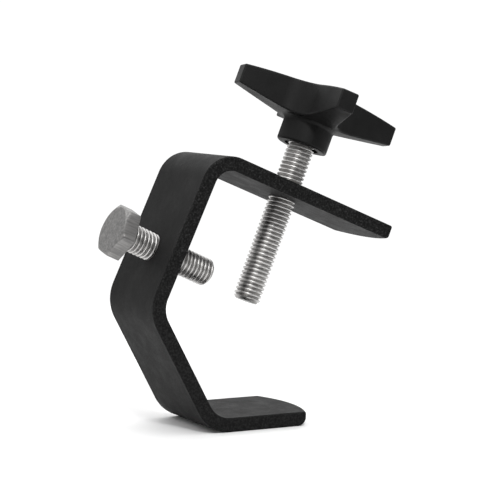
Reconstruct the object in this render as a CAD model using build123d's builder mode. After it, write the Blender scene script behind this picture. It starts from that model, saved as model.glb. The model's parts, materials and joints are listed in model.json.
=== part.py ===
from build123d import *
from math import cos, radians, sin, tan
import os

# Light-duty hook clamp for a 48 to 51 mm stage tube, standing on its foot.
# +Z is up, +X runs from the web towards the arm's tip, and +Y lies along the tube.
# The origin is the middle of the foot's underside.

# Bent flat bar
bar_width = 35.0
bar_thickness = 5.0
arm_length = 81.0          # outside corner to the middle of the tip
web_length = 60.5
diagonal_length = 49.5
foot_length = 42.5
foot_middle = 25.0         # outside corner of the foot to the origin
arm_slope = 21.5           # degrees below level
web_lean = 24.0            # degrees from upright
diagonal_lean = 29.0
arm_bend_radius = 11.5     # outside radii
web_bend_radius = 14.0
foot_bend_radius = 14.0
arm_end_radius = 50.0      # rounded ends of the bar
foot_end_radius = 40.0
bar_arris = 0.7
arm_tip_arris = 1.2        # along the underside of the arm's tip
foot_tip_arris = 3.0       # along the underside of the foot's tip

# M10 fasteners
thread_radius = 4.95
hole_radius = 5.01
end_chamfer = 1.0
head_flats = 17.0
head_height = 5.6
head_chamfer_angle = 30.0

# Clamp screw: its zero height is the arm's top face
screw_from_corner = 41.0
screw_length = 70.0
screw_below_arm = 38.5

# Fixture bolt: its zero is the web's outside face
bolt_from_corner = 38.5
bolt_length = 35.0
bolt_gap = 10.6
bolt_turn = -12.0          # first corner of the head, from -Y towards the arm

# Knob: heights above the arm's top face
knob_turn = 101.5          # first lobe, from the arm's line towards -Y
lobe_reach = 30.9
lobe_tip_half_width = 3.2
lobe_root = 6.7            # where the straight sides of two lobes would meet
lobe_root_fillet = 10.0
lobe_tip_top = 34.6
lobe_tip_bottom = 27.7
crown_rise = 2.2
hub_bottom = 15.3
hub_radius = 9.7           # to the four creases below the lobes
hub_waist_radius = 9.1     # between the creases
hub_rim = 0.8
hub_top = 24.1             # where the hub runs into the lobes' undersides
hub_mouth_radius = 6.4
hub_mouth_depth = 1.2
knob_arris = 0.6
pocket_clearance = 0.05
cap_radius = 10.0
cap_clearance = 0.06
cap_thickness = 2.6
cap_edge = 0.5

# Outside corners of the bar, from the arm's tip to the foot's tip, in the XZ plane
foot_corner = Vector(-foot_middle, 0, 0)
foot_dir = Vector(1, 0, 0)
diagonal_dir = Vector(-sin(radians(diagonal_lean)), 0, cos(radians(diagonal_lean)))
web_dir = Vector(sin(radians(web_lean)), 0, cos(radians(web_lean)))
arm_dir = Vector(cos(radians(arm_slope)), 0, -sin(radians(arm_slope)))
web_corner = foot_corner + diagonal_dir * diagonal_length
arm_corner = web_corner + web_dir * web_length
arm_end_rise = arm_end_radius - (arm_end_radius**2 - (bar_width / 2) ** 2) ** 0.5
foot_end_rise = foot_end_radius - (foot_end_radius**2 - (bar_width / 2) ** 2) ** 0.5
arm_end = arm_corner + arm_dir * (arm_length - arm_end_rise)
foot_end = foot_corner + foot_dir * (foot_length - foot_end_rise)

# Planes: local Z is each screw's axis, pointing from the free end to the head
arm_normal = Vector(sin(radians(arm_slope)), 0, cos(radians(arm_slope)))
web_normal = Vector(-cos(radians(web_lean)), 0, sin(radians(web_lean)))
foot_tip = foot_corner + foot_dir * foot_length
arm_tip_below = arm_corner + arm_dir * arm_length - arm_normal * bar_thickness
screw_origin = arm_corner + arm_dir * screw_from_corner
bolt_origin = arm_corner - web_dir * bolt_from_corner
screw_plane = Plane(origin=screw_origin, x_dir=arm_dir, z_dir=arm_normal)
bolt_corner_dir = Vector(0, -1, 0) * cos(radians(bolt_turn)) + web_dir * sin(radians(bolt_turn))
bolt_plane = Plane(origin=bolt_origin, x_dir=bolt_corner_dir, z_dir=web_normal)
lobe_dir = arm_dir * cos(radians(knob_turn)) + Vector(0, -1, 0) * sin(radians(knob_turn))
knob_plane = Plane(origin=screw_origin, x_dir=lobe_dir, z_dir=arm_normal)
arm_end_plane = Plane(origin=arm_end, x_dir=arm_dir, z_dir=arm_normal)
foot_end_plane = Plane(origin=foot_end, x_dir=foot_dir, z_dir=(0, 0, -1))


def in_xz(point):
    return (point.X, point.Z)


# Strap: one flat bar with three bends, rounded ends and two tapped holes
with BuildPart() as strap:
    with BuildSketch(Plane.XZ) as bar_side:
        with BuildLine() as bar_outline:
            FilletPolyline(
                in_xz(arm_end),
                in_xz(arm_corner),
                in_xz(web_corner),
                in_xz(foot_corner),
                in_xz(foot_end),
                radius=[arm_bend_radius, web_bend_radius, foot_bend_radius],
            )
            offset(amount=bar_thickness, side=Side.LEFT)
        make_face()
    extrude(amount=bar_width / 2, both=True)
    with BuildSketch(arm_end_plane) as arm_rounded_end:
        with BuildLine() as arm_end_outline:
            Line((0, -bar_width / 2), (0, bar_width / 2))
            ThreePointArc((0, -bar_width / 2), (arm_end_rise, 0), (0, bar_width / 2))
        make_face()
    extrude(amount=-bar_thickness)
    with BuildSketch(foot_end_plane) as foot_rounded_end:
        with BuildLine() as foot_end_outline:
            Line((0, -bar_width / 2), (0, bar_width / 2))
            ThreePointArc((0, -bar_width / 2), (foot_end_rise, 0), (0, bar_width / 2))
        make_face()
    extrude(amount=-bar_thickness)
    fillet(strap.edges().filter_by(GeomType.CIRCLE).sort_by_distance(foot_tip)[0], radius=foot_tip_arris)
    fillet(strap.edges().filter_by(GeomType.CIRCLE).sort_by_distance(arm_tip_below)[0], radius=arm_tip_arris)
    fillet(strap.edges().filter_by(Axis.Y, reverse=True), radius=bar_arris)
    with BuildSketch(screw_plane, bolt_plane) as tapped_holes:
        Circle(hole_radius)
    extrude(amount=-2 * bar_thickness, mode=Mode.SUBTRACT)
strap.part.label = "strap"


# A hexagon-head bolt is a shank with a chamfered end and a head with a chamfered top
chamfer_circle = 0.95 * head_flats / 2
head_corner = head_flats / 2 / cos(radians(30))
corner_drop = (head_corner - chamfer_circle) * tan(radians(head_chamfer_angle))


def hexagon_bolt(seat, length):
    """A bolt whose head stands on the plane `seat`, with its shank below it."""
    profile_plane = Plane(origin=seat.origin, x_dir=seat.x_dir, z_dir=-seat.y_dir)
    with BuildPart() as bolt:
        with BuildSketch(profile_plane):
            with BuildLine():
                Polyline(
                    (0, -length),
                    (thread_radius - end_chamfer, -length),
                    (thread_radius, end_chamfer - length),
                    (thread_radius, 0),
                    (head_corner, 0),
                    (head_corner, head_height - corner_drop),
                    (chamfer_circle, head_height),
                    (0, head_height),
                    close=True,
                )
            make_face()
        revolve(axis=Axis(seat.origin, seat.z_dir))
        with BuildSketch(seat):
            Circle(2 * head_corner)
            RegularPolygon(head_flats / 2, 6, major_radius=False, mode=Mode.SUBTRACT)
        extrude(amount=head_height, mode=Mode.SUBTRACT)
    return bolt


screw_seat = screw_length - screw_below_arm - bar_thickness
clamp_screw = hexagon_bolt(knob_plane.offset(screw_seat), screw_length)
clamp_screw.part.label = "clamp_screw"

fixture_bolt = hexagon_bolt(bolt_plane.offset(bolt_gap), bolt_length)
fixture_bolt.part.label = "fixture_bolt"


# Knob: four tapered lobes over an eight-sided hub
def under_lobe(radius):
    """Height of the lobes' conical underside at a distance from the axis."""
    slope = (lobe_tip_bottom - hub_top) / (lobe_reach - hub_radius)
    return hub_top + slope * (radius - hub_radius)


knob_side = Plane(origin=screw_origin, x_dir=lobe_dir, z_dir=lobe_dir.cross(arm_normal))
knob_axis = Axis(screw_origin, arm_normal)
crown_top = lobe_tip_top + crown_rise
pocket_floor = screw_seat
cap_seat = crown_top - cap_thickness
blank_radius = lobe_reach + 1

with BuildPart() as knob:
    with BuildSketch(knob_plane) as lobes:
        with BuildLine():
            corners = []
            for quarter in range(4):
                for x, y in (
                    (lobe_reach, -lobe_tip_half_width),
                    (lobe_reach, lobe_tip_half_width),
                    (lobe_root, lobe_root),
                ):
                    corners.append(Vector(x, y).rotate(Axis.Z, 90 * quarter))
            Polyline(*corners, close=True)
        make_face()
        by_reach = lobes.vertices().group_by(lambda v: round(abs(v.center()), 3))
        fillet(by_reach[0], radius=lobe_root_fillet)
    extrude(amount=crown_top)
    with BuildSketch(knob_side):
        with BuildLine():
            Line((0, under_lobe(0)), (blank_radius, under_lobe(blank_radius)))
            Line((blank_radius, under_lobe(blank_radius)), (blank_radius, lobe_tip_top))
            ThreePointArc(
                (blank_radius, lobe_tip_top),
                (blank_radius / 2, lobe_tip_top + 0.75 * crown_rise),
                (0, crown_top),
            )
            Line((0, crown_top), (0, under_lobe(0)))
        make_face()
    revolve(axis=knob_axis, mode=Mode.INTERSECT)
    fillet(knob.edges(), radius=knob_arris)
    with BuildSketch(knob_plane.offset(hub_bottom)):
        with BuildLine():
            for quarter in range(4):
                ThreePointArc(
                    Vector(hub_radius, 0).rotate(Axis.Z, 90 * quarter),
                    Vector(hub_waist_radius, 0).rotate(Axis.Z, 90 * quarter + 45),
                    Vector(hub_radius, 0).rotate(Axis.Z, 90 * quarter + 90),
                )
        make_face()
    extrude(amount=under_lobe(hub_radius) - hub_bottom + 2)
    fillet(knob.faces().sort_by(knob_axis)[0].edges(), radius=hub_rim)
    with BuildSketch(knob_plane.offset(hub_bottom)):
        Circle(hub_mouth_radius)
    extrude(amount=hub_mouth_depth, mode=Mode.SUBTRACT)
    with BuildSketch(knob_plane.offset(hub_bottom)):
        Circle(thread_radius + pocket_clearance)
    extrude(amount=pocket_floor - hub_bottom, mode=Mode.SUBTRACT)
    with BuildSketch(knob_plane.offset(pocket_floor)):
        RegularPolygon(head_flats / 2 + pocket_clearance, 6, major_radius=False)
    extrude(amount=crown_top - pocket_floor, mode=Mode.SUBTRACT)
    with BuildSketch(knob_plane.offset(cap_seat)):
        Circle(cap_radius + cap_clearance)
    extrude(amount=cap_thickness, mode=Mode.SUBTRACT)
knob.part.label = "knob"

with BuildPart() as knob_cap:
    with BuildSketch(knob_plane.offset(cap_seat + cap_clearance)):
        Circle(cap_radius)
    extrude(amount=cap_thickness - cap_clearance)
    chamfer(knob_cap.edges().sort_by(knob_axis)[-1], length=cap_edge)
knob_cap.part.label = "knob_cap"

os.makedirs("parts", exist_ok=True)
export_step(strap.part, "parts/strap.step")
export_step(clamp_screw.part, "parts/clamp_screw.step")
export_step(knob.part, "parts/knob.step")
export_step(knob_cap.part, "parts/knob_cap.step")
export_step(fixture_bolt.part, "parts/fixture_bolt.step")
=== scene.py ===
"""Light-duty hook clamp: threads, fasteners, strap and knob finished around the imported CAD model."""

import json
from math import cos, pi, radians, sin, sqrt, tan

import bmesh
import bpy
from mathutils import Matrix, Vector


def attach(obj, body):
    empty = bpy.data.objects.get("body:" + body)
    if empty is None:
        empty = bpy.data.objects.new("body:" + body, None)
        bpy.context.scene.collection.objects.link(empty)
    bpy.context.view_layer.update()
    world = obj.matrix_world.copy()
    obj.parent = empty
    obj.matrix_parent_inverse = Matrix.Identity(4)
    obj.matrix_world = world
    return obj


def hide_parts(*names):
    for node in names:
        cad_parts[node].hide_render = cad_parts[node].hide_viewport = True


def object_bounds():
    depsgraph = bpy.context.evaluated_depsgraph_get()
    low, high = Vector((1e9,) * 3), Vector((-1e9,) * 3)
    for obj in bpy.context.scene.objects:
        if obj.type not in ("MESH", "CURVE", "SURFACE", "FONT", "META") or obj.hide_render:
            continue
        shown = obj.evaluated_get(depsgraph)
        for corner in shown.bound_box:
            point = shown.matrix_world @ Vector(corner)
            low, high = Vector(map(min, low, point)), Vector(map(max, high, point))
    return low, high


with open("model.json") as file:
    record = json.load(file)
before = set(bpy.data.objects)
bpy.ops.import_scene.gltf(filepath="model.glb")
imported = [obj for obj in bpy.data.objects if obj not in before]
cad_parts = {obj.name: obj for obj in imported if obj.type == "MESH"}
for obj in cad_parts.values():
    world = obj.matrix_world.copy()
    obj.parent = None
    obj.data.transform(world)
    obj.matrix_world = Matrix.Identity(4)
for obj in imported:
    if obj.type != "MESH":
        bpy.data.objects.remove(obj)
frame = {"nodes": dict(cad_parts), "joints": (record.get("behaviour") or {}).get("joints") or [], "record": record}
cad_low, cad_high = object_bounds()

MM = 0.001
joints = {joint["name"]: joint for joint in frame["joints"]}
mounts = {mount["name"]: mount for mount in frame["record"]["mounts"]}

# The clamp screw's origin is on the arm's top face, and the bolt's is on the web's outside face
screw_axis = Vector(joints["clamp_screw_turn"]["axis"]).normalized()
screw_origin = Vector(joints["clamp_screw_turn"]["pos_m"])
bolt_axis = Vector(mounts["fixture_bolt"]["axis"]).normalized()
bolt_origin = Vector(mounts["fixture_bolt"]["pos_m"])
bar_across = Vector((0, 1, 0))

# Threads. The crests stay just clear of the strap's plain holes
pitch = 1.5 * MM
crest_radius = 4.93 * MM
root_radius = 4.15 * MM
tip_radius = 3.80 * MM
tip_chamfer = 1.1 * MM
tip_dish = 0.12 * MM
thread_runout = 1.2 * MM

# Hexagon heads, with a raised washer face under each
head_flats = 17 * MM
head_height = 5.6 * MM
chamfer_radius = 0.475 * head_flats
chamfer_slope = tan(radians(30))
washer_radius = 7.6 * MM
washer_foot_radius = 8.0 * MM
washer_height = 0.25 * MM
under_break = 0.15 * MM
flats_start = 0.4 * MM

# Lengths along each axis: what hangs below the arm's top face, and the gap under the bolt's head
screw_below = 43.5 * MM
screw_length = 70 * MM
screw_head_turn = radians(18.5)
bolt_gap = 10.6 * MM
bolt_length = 35 * MM
bolt_head_turn = radians(18)

# Every turned surface has this many columns round its axis
columns = 96


def new_piece(name, points, faces, body, material, replaced=(), sharp_angle=32):
    """A piece made from points and faces in the row frame, welded, shaded and riding on a body."""
    mesh = bpy.data.meshes.new(name)
    mesh.from_pydata([tuple(p) for p in points], [], faces)
    shape = bmesh.new()
    shape.from_mesh(mesh)
    bmesh.ops.remove_doubles(shape, verts=shape.verts, dist=2e-7)
    bmesh.ops.dissolve_degenerate(shape, edges=shape.edges, dist=1e-7)
    bmesh.ops.recalc_face_normals(shape, faces=shape.faces)
    shape.to_mesh(mesh)
    shape.free()
    mesh.shade_smooth()
    mesh.set_sharp_from_angle(angle=radians(sharp_angle))
    piece = bpy.data.objects.new(name, mesh)
    bpy.context.scene.collection.objects.link(piece)
    mesh.materials.append(material)
    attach(piece, body)
    if replaced:
        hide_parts(*replaced)
    return piece


# Materials


class Nodes:
    """A short way to build a material's node tree."""

    def __init__(self, name):
        self.material = bpy.data.materials.new(name)
        self.material.use_nodes = True
        self.tree = self.material.node_tree
        self.tree.nodes.clear()
        self.output = self.tree.nodes.new("ShaderNodeOutputMaterial")
        self.shader = self.tree.nodes.new("ShaderNodeBsdfPrincipled")
        self.tree.links.new(self.shader.outputs[0], self.output.inputs[0])
        self.coords = self.tree.nodes.new("ShaderNodeTexCoord")

    def add(self, kind, *links, **values):
        """A node of this kind. Links go to its inputs in order; None skips one."""
        node = self.tree.nodes.new("ShaderNode" + kind)
        for key, value in values.items():
            if hasattr(node, key):
                setattr(node, key, value)
            else:
                node.inputs[key.replace("_", " ")].default_value = value
        for i, link in enumerate(links):
            if link is None:
                continue
            if isinstance(link, (int, float, tuple)):
                node.inputs[i].default_value = link
            else:
                self.tree.links.new(link, node.inputs[i])
        return node.outputs

    def noise(self, scale, detail=2.0, roughness=0.5, vector=None):
        vector = vector or self.coords.outputs["Object"]
        return self.add("TexNoise", vector, Scale=scale, Detail=detail, Roughness=roughness)["Fac"]

    def math(self, operation, *values):
        return self.add("Math", *values, operation=operation)[0]

    def remap(self, value, low, high, to_low=0.0, to_high=1.0):
        return self.add("MapRange", value, low, high, to_low, to_high)[0]

    def mix(self, factor, a, b):
        """Mixes two colours."""
        node = self.tree.nodes.new("ShaderNodeMix")
        node.data_type = "RGBA"
        for socket, value in zip((node.inputs[0], node.inputs[6], node.inputs[7]), (factor, a, b)):
            if isinstance(value, (float, int, tuple)):
                socket.default_value = value
            else:
                self.tree.links.new(value, socket)
        return node.outputs[2]

    def bump(self, height, distance, strength=1.0, normal=None):
        node = self.tree.nodes.new("ShaderNodeBump")
        node.inputs["Strength"].default_value = strength
        node.inputs["Distance"].default_value = distance
        self.tree.links.new(height, node.inputs["Height"])
        if normal is not None:
            self.tree.links.new(normal, node.inputs["Normal"])
        return node.outputs[0]

    def set(self, **values):
        for key, value in values.items():
            socket = self.shader.inputs[key.replace("_", " ")]
            if isinstance(value, (float, int, tuple)):
                socket.default_value = value
            else:
                self.tree.links.new(value, socket)


def grey(value, tint=0.0):
    """A grey in linear light. A tint above 0 is warmer."""
    return (value * (1 + tint), value, value * (1 - tint), 1)


def powder_coat():
    """Satin black coat: smooth orange peel on the rolled faces, coarse speckle on the cut edges."""
    n = Nodes("black_powder_coat")
    edge_start, edge_end, edge_wander = 16.2 * MM, 17.7 * MM, 1.6 * MM
    worn_from, worn_above = 45 * MM, 65 * MM

    # Cut edges: where the surface faces sideways, and a ragged band on the faces beside it
    facing = n.add("SeparateXYZ", n.coords.outputs["Normal"])[1]
    turned = n.remap(n.math("ABSOLUTE", facing), 0.60, 0.95)
    across = n.math("ABSOLUTE", n.add("SeparateXYZ", n.coords.outputs["Object"])[1])
    ragged = n.math("ADD", across, n.math("MULTIPLY", n.noise(900, 3, 0.6), edge_wander))
    cut = n.math("MAXIMUM", turned, n.remap(ragged, edge_start, edge_end))
    broad = n.noise(30, 3)
    cloud = n.noise(170, 4, 0.6)
    peel = n.noise(1500, 3, 0.55)
    grain = n.noise(1500, 3, 0.7)
    tone = n.mix(n.remap(broad, 0.35, 0.68), grey(0.0115), grey(0.0165))
    dust = n.remap(cloud, 0.58, 0.80, 0.0, 0.5)
    tone = n.mix(dust, tone, grey(0.027, 0.02))
    cut_tone = n.mix(n.remap(grain, 0.42, 0.60), grey(0.004), grey(0.014))
    height = n.add("SeparateXYZ", n.coords.outputs["Object"])[2]
    flecks = n.remap(grain, 0.58, 0.72, 0.0, 0.8)
    worn = n.math("MULTIPLY", flecks, n.remap(height, worn_from, worn_above, 0.15, 1.0))
    cut_tone = n.mix(worn, cut_tone, grey(0.045))
    tone = n.mix(cut, tone, cut_tone)
    n.set(Base_Color=tone, Specular_IOR_Level=0.08)
    smooth = n.remap(n.math("ADD", cloud, n.math("MULTIPLY", peel, 0.5)), 0.5, 1.0, 0.52, 0.70)
    n.set(Roughness=n.math("MAXIMUM", smooth, n.math("MULTIPLY", cut, 0.68)))
    skin = n.math("ADD", n.math("MULTIPLY", peel, 0.6), n.math("MULTIPLY", grain, 0.3))
    fine = n.bump(skin, 0.00012, 0.5)
    rough = n.math("MULTIPLY", cut, n.noise(1100, 3, 0.65))
    n.set(Normal=n.bump(rough, 0.00035, 0.6, fine))
    return n.material


def moulded_plastic():
    """Dull black plastic with a faint moulded texture."""
    n = Nodes("black_plastic")
    broad = n.noise(45, 3)
    fine = n.noise(2400, 3, 0.6)
    tone = n.mix(n.remap(broad, 0.35, 0.7), grey(0.0055), grey(0.0095))
    n.set(Base_Color=tone, Specular_IOR_Level=0.16)
    n.set(Roughness=n.remap(n.noise(120, 4, 0.6), 0.3, 0.75, 0.42, 0.60))
    n.set(Normal=n.bump(fine, 0.00005, 0.5))
    return n.material


def zinc_plate(name, origin, axis, seat):
    """Dull zinc, darker on the head, which starts seat above origin, with painted shade in the thread's roots."""
    n = Nodes(name)
    away = n.add("VectorMath", n.coords.outputs["Object"], tuple(origin), operation="SUBTRACT")[0]
    cross = n.add("VectorMath", away, tuple(axis), operation="CROSS_PRODUCT")[0]
    radius = n.add("VectorMath", cross, operation="LENGTH")[1]
    along = n.add("VectorMath", away, tuple(axis), operation="DOT_PRODUCT")[1]
    on_head = n.math("GREATER_THAN", along, seat)
    on_shank = n.math("SUBTRACT", 1.0, on_head)
    # Painted shade: the shank's thread roots are darkened where shade falls between the crests
    painted_root_shade = n.math("MULTIPLY", n.remap(radius, root_radius, crest_radius * 0.985, 1.0, 0.0), on_shank)
    mottled = n.noise(420, 5, 0.65)
    blotch = n.noise(130, 3, 0.5)
    tone = n.mix(n.remap(mottled, 0.3, 0.75), grey(0.46, 0.01), grey(0.74, 0.02))
    tone = n.mix(n.remap(blotch, 0.5, 0.75, 0.0, 0.4), tone, grey(0.30, 0.03))
    tone = n.mix(n.math("MULTIPLY", painted_root_shade, 0.50), tone, grey(0.10, 0.04))

    # The head's stain is drawn out along the axis
    drawn = n.add("VectorMath", tuple(axis), operation="SCALE", Scale=0.9)[0]
    lengthwise = n.add("VectorMath", drawn, None, None, along, operation="SCALE")[0]
    squeezed = n.add("VectorMath", away, lengthwise, operation="SUBTRACT")[0]
    stain = n.remap(n.noise(900, 5, 0.7, squeezed), 0.38, 0.66)
    tone = n.mix(on_head, tone, n.mix(stain, grey(0.17, 0.01), grey(0.30, 0.02)))
    n.set(Base_Color=tone, Metallic=1.0)
    n.set(Roughness=n.remap(mottled, 0.3, 0.8, 0.32, 0.52))

    # Fine marks that run round the axis
    streak_coords = n.add("CombineXYZ", n.math("MULTIPLY", along, 9.0), radius, 0.0)[0]
    streaks = n.noise(260, 3, 0.6, streak_coords)
    height = n.math("ADD", n.math("MULTIPLY", streaks, 0.25), n.math("MULTIPLY", mottled, 0.6))
    n.set(Normal=n.bump(height, 0.00008, 0.5))
    return n.material


def floor_finish():
    """Matt white paper."""
    n = Nodes("studio_floor")
    n.set(Base_Color=n.mix(n.noise(3, 2), grey(0.88), grey(0.90)), Roughness=0.7)
    return n.material


# Threaded fasteners


def about(axis):
    """Two directions square to the axis that make a right-handed set with it."""
    u = bar_across.cross(axis).normalized()
    return u, axis.cross(u).normalized()


# One pitch of a rolled M10 thread, crest to crest: (place in the pitch, 0 at the root and 1 at the crest)
thread_form = (
    (0.00, 1.00), (0.12, 0.99), (0.20, 0.86), (0.30, 0.48), (0.38, 0.15), (0.44, 0.02),
    (0.50, 0.00), (0.56, 0.02), (0.62, 0.15), (0.70, 0.48), (0.80, 0.86), (0.88, 0.99),
)


def bolt_piece(name, origin, axis, tip, length, turn, material, body, replaced):
    """A hexagon-head bolt with a real helical thread, one closed surface from its tip to its head.

    tip is the free end's height above origin along axis. turn is the angle of one corner of the head.
    """
    u, v = about(axis)
    forms = len(thread_form)
    points, faces = [], []

    def put(radius, angle, height):
        points.append(origin + axis * height + (u * cos(angle) + v * sin(angle)) * radius)

    pitches = int(length / pitch) + 3
    for row in range(-forms, pitches * forms):
        place, crest = thread_form[row % forms]
        row_height = (row // forms + place) * pitch
        for column in range(columns):
            turned = column / columns
            height = min(max(row_height + turned * pitch, 0), length)
            radius = root_radius + (crest_radius - root_radius) * crest
            radius = min(radius, tip_radius + height * (crest_radius - tip_radius) / tip_chamfer)
            left = min(1, (length - height) / thread_runout)
            radius = root_radius + (radius - root_radius) * left if radius > root_radius else radius
            put(radius, 2 * pi * turned, tip + height)
    rows = (pitches + 1) * forms
    for row in range(rows - forms):
        for column in range(columns):
            after = column + 1
            up = row
            if after == columns:
                after, up = 0, row + forms
            if up + 1 >= rows:
                continue
            near, far = row * columns + column, up * columns + after
            faces.append((near, far, far + columns, near + columns))

    # The head: rings from the shank outwards, up the flats, over the chamfer and in to the middle
    seat = tip + length

    def flat_radius(angle):
        return head_flats / 2 / cos((angle - turn) % (pi / 3) - pi / 6)

    def chamfer_drop(radius):
        return max(0.0, radius - chamfer_radius) * chamfer_slope

    def ring(size, height_of):
        first = len(points)
        for column in range(columns):
            angle = 2 * pi * column / columns
            radius = size(angle)
            put(radius, angle, seat + height_of(radius))
        return first

    starts = [
        ring(lambda a: root_radius, lambda r: 0),
        ring(lambda a: washer_radius, lambda r: 0),
        ring(lambda a: washer_foot_radius, lambda r: washer_height),
        ring(lambda a: flat_radius(a) - under_break, lambda r: washer_height),
        ring(flat_radius, lambda r: flats_start),
    ]

    def up_the_flats(share):
        return lambda r: flats_start + share * (head_height - chamfer_drop(r) - flats_start)

    def over_the_chamfer(share):
        return lambda a: flat_radius(a) + share * (chamfer_radius - flat_radius(a))

    for share in (0.25, 0.5, 0.75, 0.97):
        starts.append(ring(flat_radius, up_the_flats(share)))
    for share in (0.06, 0.5, 0.94):
        starts.append(ring(over_the_chamfer(share), lambda r: head_height - chamfer_drop(r)))
    for size in (0.99, 0.96, 0.8, 0.5, 0.2):
        starts.append(ring(lambda a, s=size: chamfer_radius * s, lambda r: head_height))
    for low, high in zip(starts, starts[1:]):
        for column in range(columns):
            after = (column + 1) % columns
            faces.append((low + column, low + after, high + after, high + column))
    faces.append(tuple(starts[-1] + column for column in range(columns)))

    # The end of the shank, slightly dished
    end_starts = []
    for size in (1.0, 0.93, 0.6, 0.25):
        first = len(points)
        for column in range(columns):
            put(tip_radius * size, 2 * pi * column / columns, tip + (tip_dish if size < 0.93 else 0))
        end_starts.append(first)
    for low, high in zip(end_starts, end_starts[1:]):
        for column in range(columns):
            after = (column + 1) % columns
            faces.append((low + after, low + column, high + column, high + after))
    faces.append(tuple(reversed([end_starts[-1] + column for column in range(columns)])))
    return new_piece(name, points, faces, body, material, replaced, sharp_angle=38)


def ring_piece(name, origin, axis, profile_of, material, body):
    """A closed ring about an axis. profile_of(angle) lists its section's (radius, height) corners."""
    u, v = about(axis)
    points, faces = [], []
    for column in range(columns):
        angle = 2 * pi * column / columns
        section = profile_of(angle)
        for radius, height in section:
            points.append(origin + axis * height + (u * cos(angle) + v * sin(angle)) * radius)
    count = len(section)
    for column in range(columns):
        low, high = column * count, (column + 1) % columns * count
        for i in range(count):
            j = (i + 1) % count
            faces.append((low + i, high + i, high + j, low + j))
    return new_piece(name, points, faces, body, material, sharp_angle=40)


# The knob's hub has four creases below the lobes and bows out between them
knob_turn = radians(-101.5)
hub_crease = 9.7 * MM
hub_bow = 11.62 * MM
hub_bow_centre = 2.52 * MM
hub_top = 24.1 * MM
underside_slope = 0.1698
hub_fillet = 1.7 * MM
fillet_steps = 8

# How far the fillet's closed back is sunk into the wall and the underside, and runs on below the fillet
fillet_sunk = 0.4 * MM
fillet_rise = 0.3 * MM
fillet_skirt = 0.2 * MM
fillet_skin = 0.01 * MM


def hub_radius(angle):
    """The hub's wall, four arcs of radius hub_bow that meet at the creases."""
    towards = hub_bow_centre * cos((angle - knob_turn) % (pi / 2) - pi / 4)
    return sqrt(towards**2 - hub_bow_centre**2 + hub_bow**2) - towards


def hub_root_section(angle):
    """The fillet between the hub's wall and the lobes' conical underside, with a closed back inside."""
    wall = hub_radius(angle)
    inside = wall - fillet_sunk
    underside = hub_top + underside_slope * (wall + hub_fillet - hub_crease)
    above = underside + fillet_rise
    section = [(inside, above), (inside, underside - hub_fillet - fillet_skirt)]
    for step in range(fillet_steps + 1):
        swing = pi / 2 * step / fillet_steps
        radius = wall + hub_fillet * (1 - cos(swing)) - fillet_skin
        section.append((radius, underside - hub_fillet * (1 - sin(swing))))
    section.append((wall + hub_fillet, above))
    return section


def burr_section(angle):
    """The uneven lip that tapping raised round the arm's hole, worked out in millimetres."""
    swell = 0.24 + 0.05 * sin(3 * angle + 0.7) + 0.03 * sin(7 * angle)
    outer = 6.7 + 0.12 * sin(2 * angle + 1.1)
    corners = (
        (5.15, -0.4), (5.15, swell * 0.55), (5.3, swell * 0.9), (5.55, swell), (5.85, swell * 0.8),
        (6.2, swell * 0.4), (6.5, swell * 0.12), (outer, -0.03), (outer, -0.4),
    )
    return [(radius * MM, height * MM) for radius, height in corners]


coat = powder_coat()
plastic = moulded_plastic()
screw_zinc = zinc_plate("zinc_screw", screw_origin, screw_axis, screw_length - screw_below)
bolt_zinc = zinc_plate("zinc_bolt", bolt_origin, bolt_axis, bolt_gap)

bolt_piece(
    "threaded_clamp_screw", screw_origin, screw_axis, -screw_below, screw_length, screw_head_turn,
    screw_zinc, "screw_and_knob", ("clamp_screw",),
)
bolt_piece(
    "hexagon_fixture_bolt", bolt_origin, bolt_axis, bolt_gap - bolt_length, bolt_length, bolt_head_turn,
    bolt_zinc, "fixture_bolt", ("fixture_bolt",),
)

ring_piece(
    "knob_hub_root", screw_origin, screw_axis, hub_root_section,
    plastic, "screw_and_knob",
)
ring_piece(
    "screw_hole_burr", screw_origin, screw_axis, burr_section,
    coat, "strap",
)

for node, material in (("strap", coat), ("knob", plastic), ("knob_cap", plastic)):
    mesh = frame["nodes"][node].data
    mesh.materials.clear()
    mesh.materials.append(material)
    mesh.shade_smooth()
    mesh.set_sharp_from_angle(angle=radians(30))

# Floor, light and camera


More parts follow.
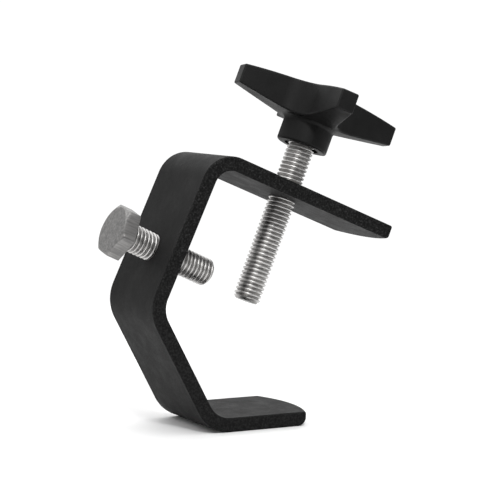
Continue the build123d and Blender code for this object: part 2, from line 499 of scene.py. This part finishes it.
def studio():
    """A small white floor, a white room, a key light and a broad sun."""
    half = 0.32
    corners = [(-half, -half, 0), (half, -half, 0), (half, half, 0), (-half, half, 0)]
    mesh = bpy.data.meshes.new("floor")
    mesh.from_pydata(corners, [], [(0, 1, 2, 3)])
    mesh.materials.append(floor_finish())
    floor = bpy.data.objects.new("floor", mesh)
    bpy.context.scene.collection.objects.link(floor)

    # A white backdrop. The room's light is dimmer from the camera's side than from behind, the left and above
    world = bpy.data.worlds.new("studio")
    bpy.context.scene.world = world
    world.use_nodes = True
    tree = world.node_tree
    coords = tree.nodes.new("ShaderNodeTexCoord")
    facing = tree.nodes.new("ShaderNodeVectorMath")
    facing.operation = "DOT_PRODUCT"
    facing.inputs[1].default_value = (-0.45, 0.80, 0.40)
    spread = tree.nodes.new("ShaderNodeMapRange")
    spread.interpolation_type = "SMOOTHSTEP"
    for name, value in (("From Min", -0.75), ("From Max", 0.70), ("To Min", 0.18), ("To Max", 0.75)):
        spread.inputs[name].default_value = value
    path = tree.nodes.new("ShaderNodeLightPath")
    seen = tree.nodes.new("ShaderNodeMix")
    tree.links.new(coords.outputs["Generated"], facing.inputs[0])
    tree.links.new(facing.outputs["Value"], spread.inputs[0])
    tree.links.new(path.outputs["Is Camera Ray"], seen.inputs[0])
    tree.links.new(spread.outputs[0], seen.inputs[2])
    backdrop_strength = 1.05
    seen.inputs[3].default_value = backdrop_strength
    background = tree.nodes["Background"]
    tree.links.new(seen.outputs[0], background.inputs["Strength"])
    background.inputs["Color"].default_value = (1, 1, 1, 1)

    def softbox(name, place, aim, width, height, power):
        light = bpy.data.lights.new(name, "AREA")
        light.shape = "RECTANGLE"
        light.size, light.size_y = width, height
        light.energy = power
        lamp = bpy.data.objects.new(name, light)
        lamp.location = place
        lamp.rotation_euler = (Vector(aim) - Vector(place)).to_track_quat("-Z", "Y").to_euler()
        bpy.context.scene.collection.objects.link(lamp)

    middle = (cad_low + cad_high) / 2
    softbox("key_light", (-0.30, -0.75, 0.85), middle, 0.16, 0.16, 6.0)
    sun = bpy.data.lights.new("top_light", "SUN")
    sun.energy = 2.3
    sun.angle = radians(130)
    lamp = bpy.data.objects.new("top_light", sun)
    lamp.rotation_euler = Vector((0.30, 0.15, 1.0)).to_track_quat("Z", "Y").to_euler()
    bpy.context.scene.collection.objects.link(lamp)


def photo_camera():
    """The reference view: a long lens, slightly above the clamp and slightly rolled."""
    place = (-0.3081, -0.5418, 0.1213)
    azimuth, elevation, roll = radians(-29.56), radians(5.51), radians(1.2)
    back = Vector((sin(azimuth) * cos(elevation), -cos(azimuth) * cos(elevation), sin(elevation)))
    right = Vector((cos(azimuth), sin(azimuth), 0))
    up = back.cross(right)
    tilted_right = right * cos(roll) + up * sin(roll)
    tilted_up = up * cos(roll) - right * sin(roll)
    data = bpy.data.cameras.new("camera")
    data.sensor_width = 36
    data.lens = 126.9
    camera = bpy.data.objects.new("camera", data)
    bpy.context.scene.collection.objects.link(camera)
    turn = Matrix((tilted_right, tilted_up, back)).transposed().to_4x4()
    camera.matrix_world = Matrix.Translation(place) @ turn
    bpy.context.scene.camera = camera


studio()
photo_camera()
bpy.context.scene.view_settings.view_transform = "Standard"
